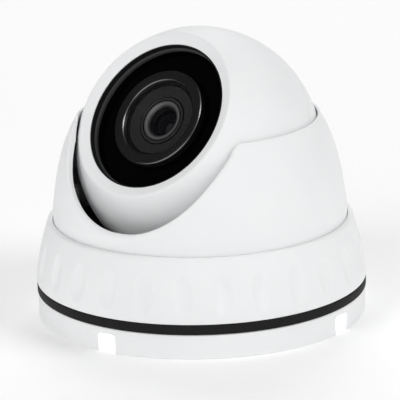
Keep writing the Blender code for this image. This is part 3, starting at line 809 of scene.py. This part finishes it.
def make_window():
    """Everything behind the bezel: trim, black window, lens collar, cover glass and baffle."""
    window_top, window_low, window_in, window_r = 19.2, 17.4, 14.45, 21.5
    trim_top, trim_low, step_h = 22.3, window_top + 0.04, 20.6
    trim_r, step_r, trim_in = 21.86, 21.55, 21.2
    trim = fillet([(step_r, trim_top, 0.08), (trim_r, trim_top, 0.08), (trim_r, trim_low),
                   (trim_in, trim_low), (trim_in, step_h - 0.5, 0.1), (step_r, step_h, 0.1)])
    turn_eye_piece("trim_ring", trim, FINE, "eye", "window_trim", TRIM)
    window = fillet([(window_in, window_top, 0.1), (window_r, window_top, 0.1), (window_r, window_low),
                     (window_in, window_low)])
    turn_eye_piece("window_disc", window, FINE, "eye", "ir_window", WINDOW)
    collar_top, collar_low, rest_h = 21.65, 15.5, 19.6
    collar_r, collar_in = 14.4, 10.8
    collar = fillet([
        (11.75, collar_top, 0.12), (14.0, collar_top, 0.3), (collar_r, 21.1, 0.1),
        (collar_r, collar_low, 0.2), (collar_in, collar_low, 0.2), (collar_in, rest_h, 0.1),
        (11.15, rest_h, 0.05), (11.0, 20.45, 0.08)])
    turn_eye_piece("collar_ring", collar, FINE, "eye", "lens_collar", COLLAR, 25.0)
    pane = disc_section(10.85, 19.9, 20.4, 0.12)
    turn_eye_piece("cover_pane", pane, MEDIUM, "eye", "cover_glass", PANE)
    baffle_in, baffle_r, baffle_low = 7.25, 10.45, 16.2
    baffle = fillet([(baffle_in, 18.95, 0.2), (baffle_r, 19.75, 0.15), (baffle_r, baffle_low, 0.2),
                     (baffle_in, baffle_low, 0.2)])
    turn_eye_piece("baffle_ring", baffle, FINE, "eye", "lens_baffle", FOAM)


def make_lens():
    """Lens barrel with its front rings, and the front and rear elements."""
    groove_h, head_low, thread_r, foot, bore = 18.6, 14.6, 5.9, 6.3, 4.0
    barrel = fillet([
        (4.35, 18.35, 0.05), (4.45, groove_h, 0.05), (5.95, 19.15, 0.08), (6.12, groove_h, 0.05),
        (6.28, groove_h, 0.05), (6.35, 19.2, 0.08), (6.95, 19.2, 0.12), (7.0, head_low, 0.2),
        (thread_r, head_low, 0.1), (thread_r, foot, 0.3), (bore, foot, 0.2), (bore, 10.5, 0.1),
        (2.2, 11.5, 0.1), (2.2, 13.6, 0.1), (4.35, 14.8, 0.1)])
    turn_eye_piece("barrel_body", barrel, FINE, "lens", "lens_barrel", ANODISED, 20.0)
    crown_r, crown_top, front_low = 9.0, 17.75, 15.1
    crown = arc(crown_r, 83.0, 63.0, 10, (0.0, crown_top - crown_r))
    front = [(0.0, crown_top)] + crown + [(4.05, front_low), (0.0, front_low)]
    turn_eye_piece("front_lens", front, MEDIUM, "lens", "front_element", LENS_GLASS)
    rear = disc_section(3.6, 7.2, 9.6, 0.2)
    turn_eye_piece("rear_lens", rear, COARSE, "lens", "rear_element", LENS_GLASS)


# ---------------------------------------------------------------- inner parts kept from the frame

INNER_FINISH = {
    "ir_led_board": BOARD, "sensor_board": BOARD, "main_board": BOARD, "image_sensor": CHIP,
    "processor": CHIP, "photocell": LAMP, "ircut_coil": COPPER, "cable_socket": NYLON,
    "lens_holder": MATTE_BLACK, "ircut_housing": MATTE_BLACK, "filter_slide": MATTE_BLACK,
    "ir_cut_filter": FILTER, "clear_filter": CLEAR,
}
GROUP_FINISH = {"ir_led_": LAMP, "front_spacer_": BRASS, "rear_spacer_": BRASS, "stack_screw_": STEEL,
                "shell_screw_": STEEL, "retainer_screw_": STEEL}


def finish_inner_parts():
    """Assign a detailed material to every CAD node that stays in view."""
    for name, node in frame["nodes"].items():
        material = INNER_FINISH.get(name)
        for start, finish in GROUP_FINISH.items():
            if material is None and name.startswith(start):
                material = finish
        if material:
            for place in node.material_slots:
                place.material = material


# ---------------------------------------------------------------- stage

def make_floor():
    """A plain pale floor that fills the view and glows under the base, so that the notches look white."""
    half_side = 4.0
    glow_in, glow_out = 0.043, 0.0465
    glow_under, glow_around = 1.0, 0.13
    pale = (0.93, 0.93, 0.93)
    mesh = bpy.data.meshes.new("floor")
    corners = [(x * half_side, y * half_side, 0.0) for x, y in ((-1, -1), (1, -1), (1, 1), (-1, 1))]
    mesh.from_pydata(corners, [], [(0, 1, 2, 3)])
    floor = new_object("floor", mesh, UPRIGHT)
    material, tree, shader, place = principled("floor_paper", pale, 0.9)
    shader.inputs["Emission Color"].default_value = (1.0, 1.0, 1.0, 1.0)
    glow = ramp(tree, axis_distance(tree, place), glow_under, glow_around, glow_in, glow_out)
    tree.links.new(glow, shader.inputs["Emission Strength"])
    vary_colour(tree, shader, noise(tree, place, 3.0), pale, (0.92, 0.92, 0.92))
    mesh.materials.append(material)


def make_world():
    world = bpy.data.worlds.new("studio")
    bpy.context.scene.world = world
    world.use_nodes = True
    back = world.node_tree.nodes["Background"]
    back.inputs["Color"].default_value = (1.0, 1.0, 1.0, 1.0)
    back.inputs["Strength"].default_value = 0.27


def direction(azimuth, elevation):
    """A unit vector; the azimuth is from -Y towards +X, and both are in degrees."""
    a, e = radians(azimuth), radians(elevation)
    return Vector((sin(a) * cos(e), -cos(a) * cos(e), sin(e)))


CAMERA_AZIMUTH, CAMERA_ELEVATION, CAMERA_ROLL = 34.4, 18.085, 1.342


def make_camera():
    """A long lens one metre away, beside the middle of the cut-out and a little above it."""
    distance = 1.0
    aim = Vector((0.00004, 0.00003, 0.03192))
    data = bpy.data.cameras.new("camera")
    data.sensor_width = 36.0
    data.lens = 313.8
    data.clip_start, data.clip_end = 0.05, 20.0
    camera = bpy.data.objects.new("camera", data)
    bpy.context.scene.collection.objects.link(camera)
    camera.location = direction(CAMERA_AZIMUTH, CAMERA_ELEVATION) * distance
    level = (aim - camera.location).normalized().to_track_quat("-Z", "Y")
    camera.rotation_mode = "QUATERNION"
    camera.rotation_quaternion = level @ Matrix.Rotation(radians(-CAMERA_ROLL), 3, "Z").to_quaternion()
    bpy.context.scene.camera = camera


def soft_box(name, beside_camera, elevation, watts):
    """A square lamp that faces the middle of the piece; its azimuth is measured from the camera's."""
    distance, size = 1.6, 0.9
    aim = Vector((0.0, 0.0, 0.04))
    data = bpy.data.lights.new(name, "AREA")
    data.shape = "SQUARE"
    data.size = size
    data.energy = watts
    lamp = bpy.data.objects.new(name, data)
    bpy.context.scene.collection.objects.link(lamp)
    away = direction(CAMERA_AZIMUTH + beside_camera, elevation)
    lamp.location = aim + away * distance
    lamp.rotation_euler = (-away).to_track_quat("-Z", "Y").to_euler()


bpy.context.scene.view_settings.view_transform = "Standard"
make_camera()
make_base_cup()
make_base_rubber()
make_ring()
make_dome()
make_front_shell()
make_rear_shell()
make_shell_rubber()
make_window()
make_lens()
finish_inner_parts()
make_floor()
make_world()
soft_box("right", 70, 35, 11.2)
soft_box("left", -50, 35, 8.3)
soft_box("front_low", -20, 12, 3.8)
soft_box("back", 180, 40, 8.8)
